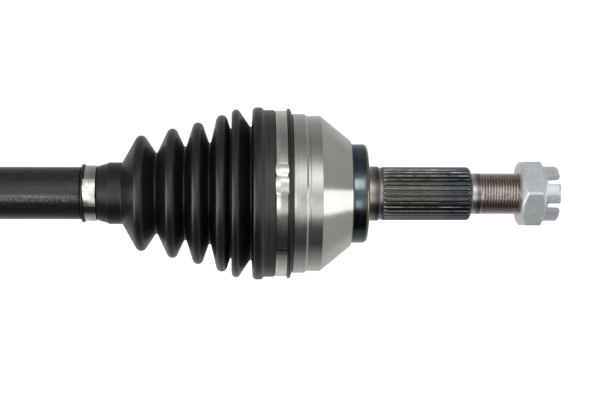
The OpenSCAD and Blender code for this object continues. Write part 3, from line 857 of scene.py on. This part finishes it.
def make_nut():
    """Castle nut: a hexagon with rounded corners and turned chamfers, a crown, six slots and a bore."""
    corner = NUT_FLAT_R / math.cos(math.radians(30)) - 0.25

    def hexagon(angles):
        place = (np.degrees(angles)) % 60 - 30
        reach = NUT_FLAT_R / np.cos(np.radians(place))
        return np.minimum(reach, corner)

    def shape(x, r, angles):
        hexed = hexagon(angles) if x < HEX_END + 0.01 else 99.0
        return np.minimum(r, hexed)

    outline = rounded([
        (NUT_X, 0), (NUT_X, NUT_FLAT_R - 1.2, 0.25), (NUT_X + 0.5, NUT_FLAT_R - 0.6, 0.3),
        (NUT_X + 3.1, corner + 0.35, 0.5), (HEX_END - 2.0, corner + 0.35, 0.5),
        (HEX_END, NUT_FLAT_R - 0.9, 0.3), (HEX_END, CROWN_R + 0.6, 0.4),
        (HEX_END + 0.8, CROWN_R, 0.5), (NUT_END - 1.0, CROWN_R, 0.4), (NUT_END, CROWN_R - 0.9, 0.3),
        (NUT_END, 0),
    ], steps=5)
    angles = np.sort(np.unique(np.round(np.concatenate([
        even(240), np.radians(np.concatenate([60 * i + np.array([-9.8, -9.2, 9.2, 9.8]) for i in range(6)]))
    ]) % FULL, 6)))
    nut = turned("castle_nut", fill_steps(outline, 1.2), around=angles, shape=shape, sharp=25)
    bore = turned("bore", rounded([
        (NUT_X - 1, 0), (NUT_X - 1, THREAD_R + 1.6), (NUT_X + 1.1, THREAD_R - 0.5),
        (NUT_END - 1.0, THREAD_R - 0.5), (NUT_END + 1, THREAD_R + 1.2), (NUT_END + 1, 0),
    ]), around=120)
    tools = [bore]
    for i in range(3):
        half = SLOT_W / 2
        along = math.radians(30 + 60 * i)
        u = np.array([0, -math.cos(along), math.sin(along)])
        v = np.array([0, math.sin(along), math.cos(along)])
        floor = NUT_END - SLOT_DEPTH
        loop = rounded([
            (floor + 2, -half), (NUT_END + 2, -half), (NUT_END + 2, half),
            (floor, half, 1.0), (floor, -half, 1.0), (floor + 2, -half),
        ])
        sections = [
            [np.array([x, 0, 0]) + v * w + u * reach for x, w in loop[:-1]]
            for reach in (-25, 25)
        ]
        tools.append(swept(f"slot_{i}", sections))
    carve(nut, tools, sharp=25)
    bevel(nut, 0.22, 2, 50)
    smooth(nut, 35)
    dress(nut, "outer_race", "zinc_plate", ["hub_nut"])


OUTER_FOLDS = [
    (-134, 16.5, 0), (-131, 16.5, -0.7), (-120.6, 30.9, 3), (-112.4, 21.8, -0.8), (-104, 34.6, 2.9),
    (-97.1, 25.1, -0.8), (-90.3, 37.9, 2.9), (-84, 27.2, -0.7), (-77.6, 41.9, 3), (-72.8, 34.8, -0.5),
    (-70, 44.9, 2.3), (-62.3, 35.8, -0.6), (-59, BOOT_RING_R, 2.2), (-57.2, BOOT_RING_R, 1.8),
    (-54.8, BOOT_RING_R - 1.4, -0.8), (-52, BOOT_RING_R - 1.4, 0),
]
FOLDS_INSIDE = 13


def make_outer_boot():
    small_end = SMALL_BAND_X + SMALL_BAND_W
    edge = low("outer_boot")
    band_end = BAND_X + BAND_W
    flat_r, lip_r, inner_r = BOOT_RING_R - 1.4, BOOT_RING_R - 0.6, SEAT_R - 3
    inside_end = -56.5
    sleeve = rounded([
        (edge + 0.3, NECK_R), (edge, 15.7, 0.6), (SMALL_BAND_X - 0.2, 15.4, 0.5),
        (SMALL_BAND_X - 0.1, CLAMP_SEAT_R, 0.1), (small_end + 0.1, CLAMP_SEAT_R, 0.1),
        (small_end + 0.8, 14.6, 0.3), (-138.0, 16.1, 0.1), (-137.8, 16.5, 0.2), (-134, 16.5),
    ], steps=8)
    cuff = rounded([
        (BAND_X - 1.6, flat_r), (BAND_X - 0.5, flat_r, 0.35), (BAND_X - 0.1, SEAT_R + 2, 0.2),
        (band_end + 0.1, SEAT_R + 2, 0.2), (band_end + 0.3, lip_r, 0.5),
        (BOOT_EDGE_X - 1.3, lip_r, 0.6), (BOOT_EDGE_X - 0.1, SEAT_R + 0.9, 0.3),
        (BOOT_EDGE_X - 0.1, SEAT_R),
    ], steps=8)
    inner_folds = OUTER_FOLDS[:FOLDS_INSIDE] + [(inside_end, inner_r + BOOT_WALL, BOOT_WALL)]
    mouth = [(MOUTH_X - 0.1, SEAT_R), (MOUTH_X - 0.1, inner_r), (inside_end, inner_r)]
    inside = mouth + folded(inner_folds, BOOT_WALL, 6)[::-1] + [(-137, NECK_R)]
    outline = fill_steps(sleeve + folded(OUTER_FOLDS) + cuff + inside, 2.2)
    boot = turned("outer_boot_bellows", outline, around=200, closed=True, sharp=50)
    dress(boot, None, "boot_rubber", ["outer_boot"])
    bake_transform(boot)


def make_large_clamp(name, body, node, x, width, inner):
    """Band clamp: the ring, an overlapping end with two small hooks, and a folded lock with side ears."""
    top = inner + BAND_T
    lock_low, lock_high, pinch = -1.0, 19.5, 11.7

    def ears(degrees):
        """The lock's sides bulge at both folds and pull in at the pinch and at its ends."""
        out = 0.42 - 0.62 * math.exp(-((degrees - pinch) / 1.5) ** 2)
        ends = min(degrees - lock_low, lock_high - degrees)
        out *= min(1, max(0, ends / 1.5))
        return -out, out

    def waves(degrees):
        return 0.14 * math.cos((degrees - 15.5) / 3.9 * math.pi) - 0.14

    ring = strip(f"{name}_ring", x, x + width, inner, BAND_T, -180, 180, steps=240)
    overlap = strip(
        f"{name}_overlap", x + 0.15, x + width - 0.15, top - 0.1, 0.36, -46, lock_low + 2, edge=0.1
    )
    lock = strip(f"{name}_lock", x, x + width, top - 0.05, 0.85, lock_low, lock_high, 0.2, waves, ears, 60)
    hooks = [
        strip(f"{name}_hook", x + share * width - 0.8, x + share * width + 0.8, top, 0.45, -45, -42.8, 0.1)
        for share in (0.27, 0.68)
    ]
    piece = joined(name, [ring, overlap, lock] + hooks)
    smooth(piece, 35)
    dress(piece, body, "clamp_band", [node])


def make_small_clamp(name, body, node, x, width, inner):
    """Small band clamp: a ring, a side tab and the folded-over end with its sharp edge."""
    top = inner + BAND_T
    fold_low, fold_high = -27, 15

    def slant(degrees):
        """The fold starts proud on the left and works back to the band's own width."""
        share = (degrees - fold_low) / (fold_high - fold_low)
        return -0.9 * share + 0.1, 0.25 - 1.3 * share ** 2

    ring = strip(f"{name}_ring", x, x + width, inner, BAND_T, -180, 180, steps=160)
    tab = strip(f"{name}_tab", x - 0.9, x + 0.45 * width, top - 0.1, 0.7, 12, 29, edge=0.15, steps=14)
    fold = strip(f"{name}_fold", x, x + width, top - 0.1, 0.95, fold_low, fold_high, 0.2, None, slant, 30)
    piece = joined(name, [ring, tab, fold])
    smooth(piece, 35)
    dress(piece, body, "clamp_band", [node])


# ---------------- bar

def make_bar():
    left, right = low("half_shaft"), high("half_shaft")
    star_half, hub_half, end_r = 11, 11, 12.0
    inner_step = INNER_BOOT_X + 0.4
    outline = rounded([
        (left, 0), (left, end_r - 1), (left + 1, end_r), (left + 1.8, end_r),
        (left + 1.8, end_r - 1), (left + 3.3, end_r - 1), (left + 3.3, end_r),
        (SPIDER_X + hub_half + 0.1, end_r), (SPIDER_X + hub_half + 0.1, end_r + 1, 0.3),
        (SPIDER_X + hub_half + 2.4, end_r + 1, 0.8), (SPIDER_X + hub_half + 3.6, end_r, 0.8),
        (inner_step - 27, end_r, 1), (inner_step - 26, NECK_R, 1), (inner_step, NECK_R, 0.3),
        (inner_step + 0.5, BAR_R, 0.5), (-152.5, BAR_R, 0.5), (-151.9, NECK_R, 0.3),
        (-126.3, NECK_R, 1), (-125.3, end_r, 1),
        (BALL_JOINT_X - star_half - 3.4, end_r, 0.8), (BALL_JOINT_X - star_half - 2.4, end_r + 1, 0.8),
        (BALL_JOINT_X - star_half - 0.1, end_r + 1, 0.3), (BALL_JOINT_X - star_half - 0.1, end_r),
        (right - 2.5, end_r), (right - 2.5, end_r - 1), (right - 1.0, end_r - 1), (right - 1.0, end_r),
        (right - 0.6, end_r), (right, end_r - 0.6), (right, 0),
    ])
    bar = turned("bar", fill_steps(outline, 6.0), around=144)
    dress(bar, "half_shaft", "bar_paint", ["half_shaft"])


# ---------------- inner joint

INNER_FOLDS = [
    (-98, 41.6, 0), (-95.5, 41.4, 1.2), (-91, 33.2, -0.9), (-85, 40.3, 2.3), (-76, 31.6, -0.9),
    (-70, 36.9, 2.4), (-62, 25.7, -0.9), (-56, 33.4, 2.4), (-49, 23.2, -0.9), (-43, 30.4, 2.4),
    (-36, 21.2, -0.9), (-30, 27.4, 2.4), (-22.5, 16.6, -1.2), (-17, 16.2, 0),
]
# The inner boot's folds and neck are placed from here
INNER_FOLDS_X = INNER_BOOT_X - 0.8
INNER_BLEND_X = INNER_FOLDS_X - 85


def inner_boot_outline():
    """The outside and the inside of the inner boot, both from the housing to the neck."""
    edge = INNER_BAND_X - 3
    band_end = INNER_BAND_X + INNER_BAND_W
    band_r, end_r = INNER_SEAT_R + 1.6, 42.6
    folds = [(INNER_FOLDS_X + x, r, tip) for x, r, tip in INNER_FOLDS]
    cuff = rounded([
        (edge, INNER_SEAT_R), (edge, band_r + 1.2, 0.5), (INNER_BAND_X - 0.2, band_r + 1.2, 0.4),
        (INNER_BAND_X - 0.1, band_r, 0.05), (band_end + 0.1, band_r, 0.05),
        (band_end + 0.2, end_r, 0.6), (HOUSING_MOUTH + 8, end_r, 1.5),
        (folds[1][0] - 2, folds[1][1] - 0.2),
    ], steps=7)
    neck = rounded([
        (INNER_FOLDS_X - 17, 16.2), (INNER_FOLDS_X - 10, 14.8, 0.5),
        (INNER_FOLDS_X - 8.2, CLAMP_SEAT_R, 0.1), (INNER_FOLDS_X - 1.8, CLAMP_SEAT_R, 0.1),
        (INNER_FOLDS_X - 1.7, 15.5, 0.4), (INNER_FOLDS_X + 0.6, 15.7, 0.5),
        (INNER_FOLDS_X + 0.8, NECK_R),
    ], steps=7)
    wall = [(x, max(r, NECK_R)) for x, r in folded(folds, BOOT_WALL, 8)]
    inside = [
        (HOUSING_MOUTH + 0.1, INNER_SEAT_R),
        (HOUSING_MOUTH + 7, end_r - BOOT_WALL),
        *wall,
        (INNER_FOLDS_X - 18, NECK_R),
    ]
    return fill_steps(cuff + folded(folds) + neck, 2.2), fill_steps(inside, 2.2)


def cut_line(path, x, keep_above):
    """The part of an outline on one side of x, with a point added on x itself."""
    out = []
    for p, q in zip(path, path[1:]):
        inside_p, inside_q = (p[0] > x) == keep_above, (q[0] > x) == keep_above
        if inside_p:
            out.append(p)
        if inside_p != inside_q:
            share = (x - p[0]) / (q[0] - p[0])
            out.append((x, p[1] + share * (q[1] - p[1])))
    if (path[-1][0] > x) == keep_above:
        out.append(path[-1])
    return out


def make_inner_boot():
    """Two halves of one boot: the bar's half and the housing's half."""
    outside, inside = inner_boot_outline()
    tilt_half = cut_line(outside, INNER_BLEND_X, True) + cut_line(inside, INNER_BLEND_X, True)[::-1]
    plunge_half = cut_line(outside, INNER_BLEND_X, False) + cut_line(inside, INNER_BLEND_X, False)[::-1]
    near = turned("inner_boot_bellows_small", tilt_half, around=216, closed=True, sharp=50)
    far = turned("inner_boot_bellows_large", plunge_half, around=216, closed=True, sharp=50)
    for piece in (near, far):
        dress(piece, None, "boot_rubber", ["inner_boot"])
    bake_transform(near)
    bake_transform(far)


def make_housing():
    seal_x = HOUSING_END + 44 + SEAL_LEN
    back = seal_x + 10
    outline = rounded([
        (seal_x - SEAL_LEN - 4, 0), (seal_x - SEAL_LEN - 4, 13.2), (seal_x - SEAL_LEN, 13.2, 0.4),
        (seal_x - SEAL_LEN, SEAL_R - 0.8, 0.2), (seal_x - SEAL_LEN + 0.9, SEAL_R, 0.4),
        (seal_x, SEAL_R, 0.5), (seal_x, SEAL_R + 5, 1.0), (seal_x + 6, SEAL_R + 6, 2.0),
        (back + 8, HOUSING_R, 3.0), (INNER_BAND_X - 7, HOUSING_R, 0.6),
        (INNER_BAND_X - 6, INNER_SEAT_R, 0.3), (HOUSING_MOUTH, INNER_SEAT_R, 0.8),
        (HOUSING_MOUTH, 0),
    ])
    housing = turned("housing", fill_steps(outline, 5.0), around=216)
    cavity_end = SPIDER_X - 42
    lobe_r, pitch_r, limit, land = 15.65, 22.5, 32.5, 20.5

    def trilobe(x, r, angles):
        """The three tracks and the round land between them, widening to the mouth."""
        reach = np.full_like(angles, land)
        for i in range(3):
            off = angles - math.radians(90 + 120 * i)
            root = lobe_r ** 2 - (pitch_r * np.sin(off)) ** 2
            lobe = np.where(root > 0, pitch_r * np.cos(off) + np.sqrt(np.maximum(root, 0)), 0)
            reach = np.maximum(reach, lobe)
        reach = np.minimum(reach, limit)
        relief = land + max(0.0, x - (HOUSING_MOUTH - 24)) * 0.329
        return np.maximum(reach, relief)

    stations = [cavity_end] + list(np.linspace(cavity_end + 2, HOUSING_MOUTH + 1, 26))
    core = [(cavity_end, 0)] + [(x, land) for x in stations] + [(HOUSING_MOUTH + 1, 0)]
    hollow = turned("hollow", core, around=288, shape=trilobe)
    carve(housing, [hollow])
    dress(housing, "tulip_housing", "forged_steel", ["tulip_housing"])
    stub = splined(
        "gearbox_spline", seal_x - SEAL_LEN - 4, HOUSING_END, 14.0, 1.1, 28, 3.0, 1.8,
        [(HOUSING_END, 0)],
    )
    dress(stub, "tulip_housing", "forged_steel", ["tulip_housing"])


# ---------------- build

make_bell()
make_hub_spline()
make_hub_thread()
make_nut()
make_outer_boot()
make_large_clamp("outer_clamp_large", "outer_race", "outer_boot_clamp_large", BAND_X, BAND_W, BAND_INNER_R)
make_small_clamp(
    "outer_clamp_small", "half_shaft", "outer_boot_clamp_small",
    SMALL_BAND_X, SMALL_BAND_W, SMALL_BAND_INNER_R
)
make_bar()
make_inner_boot()
make_large_clamp(
    "inner_clamp_large", "tulip_housing", "inner_boot_clamp_large",
    INNER_BAND_X, INNER_BAND_W, INNER_BAND_INNER_R
)
make_small_clamp(
    "inner_clamp_small", "half_shaft", "inner_boot_clamp_small",
    low("inner_boot_clamp_small"), SMALL_BAND_W, SMALL_BAND_INNER_R
)
make_housing()

for row in frame["record"]["subparts"]:
    node = frame["nodes"][row["node"]]
    if not node.hide_render:
        node.data.materials.clear()
        node.data.materials.append(MATERIALS[row["material_slot"]])
        smooth(node, 30)


# ---------------- studio

PEAK = 4.0

# How bright the studio is across the axle: degrees up from the viewer's side, and radiance.
# Both lists were set from brightness read down columns of the photograph.
LIGHT_ACROSS = [
    (-180, 0.56), (-142, 0.58), (-105, 0.26), (-80, 0.05), (-59, 0.08), (-49, 0.115), (-39, 0.33),
    (-30, 0.93), (-21, 1.0), (-4, 0.72), (5, 0.97), (22, 1.45), (31, 1.3), (41, 0.85), (50, 0.47),
    (60, 0.32), (81, 0.23), (93, 0.275), (123, 0.39), (146, 0.52), (180, 0.56),
]
# The same towards the bar's end of the axle, where the bright part sits lower
LIGHT_LEFT = [
    (-180, 0.7), (-140, 0.75), (-100, 0.2), (-75, 0.05), (-40, 0.10), (-24, 0.9), (-16, 3.0),
    (-9, 3.0), (-2, 1.4), (14, 1.2), (32, 0.75), (55, 0.42), (90, 0.3), (130, 0.5), (180, 0.7),
]


def make_world():
    """White for the camera. The object sees a soft studio, tuned to the reflections in the photograph."""
    world = bpy.data.worlds.new("studio")
    bpy.context.scene.world = world
    world.use_nodes = True
    s = Nodes(world.node_tree)
    split = s.node("ShaderNodeSeparateXYZ")
    s.link(s.node("ShaderNodeTexCoord").outputs["Generated"], split.inputs[0])
    x, y, z = split.outputs
    aside = s.math("ABSOLUTE", x)
    up = s.times(s.math("ARCTAN2", z, s.times(y, -1.0)), 180 / math.pi)
    across = s.ramp(up, [(a, light / PEAK) for a, light in LIGHT_ACROSS])
    left = s.ramp(up, [(a, light / PEAK) for a, light in LIGHT_LEFT])
    front = s.blend(s.range(x, -0.07, -0.15, steps="SMOOTHSTEP"), across, left)
    right_box = s.times(s.window(z, -0.36, -0.28, 0.03, 0.09), s.range(x, 0.80, 0.88))
    left_box = s.window(z, -0.60, -0.25, 0.10, 0.36)
    left_box = s.times(left_box, s.window(x, -1.3, -1.2, -0.86, -0.66))
    left_box = s.times(left_box, s.range(y, 0.25, 0.05))
    right_side = s.blend(right_box, 0.42 / PEAK, 1.7 / PEAK)
    left_side = s.blend(left_box, 0.20 / PEAK, 1.0)
    side = s.blend(s.range(x, -0.1, 0.1), left_side, right_side)
    behind = s.times(s.range(y, 0.2, 0.45), s.range(s.math("ABSOLUTE", z), 0.5, 0.3))
    side = s.blend(behind, side, 0.09 / PEAK)
    light = s.blend(s.range(aside, 0.50, 0.78, steps="SMOOTHSTEP"), front, side)
    studio, white = s.node("ShaderNodeBackground"), s.node("ShaderNodeBackground")
    s.link(light, studio.inputs["Color"])
    studio.inputs["Strength"].default_value = PEAK
    white.inputs["Color"].default_value = (1.05, 1.05, 1.05, 1)
    pick = s.node("ShaderNodeMixShader")
    s.link(s.node("ShaderNodeLightPath").outputs["Is Camera Ray"], pick.inputs[0])
    s.link(studio.outputs[0], pick.inputs[1])
    s.link(white.outputs[0], pick.inputs[2])
    s.link(pick.outputs[0], s.node("ShaderNodeOutputWorld").inputs[0])


def make_floor():
    """A plain white floor at the object's lowest point, left out of reflections and of diffuse light."""
    half, z = 12, cad_box[0].z
    mesh = bpy.data.meshes.new("floor")
    corners = [(-half, -half, z), (half, -half, z), (half, half, z), (-half, half, z)]
    mesh.from_pydata(corners, [], [(0, 1, 2, 3)])
    floor = placed("floor", mesh)
    floor.visible_glossy = False
    floor.visible_diffuse = False
    material = bpy.data.materials.new("floor_white")
    material.use_nodes = True
    surface = material.node_tree.nodes["Principled BSDF"]
    look = {
        "Base Color": (0.86, 0.86, 0.855, 1), "Roughness": 0.7,
        "Emission Color": (1, 1, 1, 1), "Emission Strength": 0.92,
    }
    for key, value in look.items():
        surface.inputs[key].default_value = value
    mesh.materials.append(material)


make_world()
make_floor()
bpy.context.scene.view_settings.view_transform = "Standard"
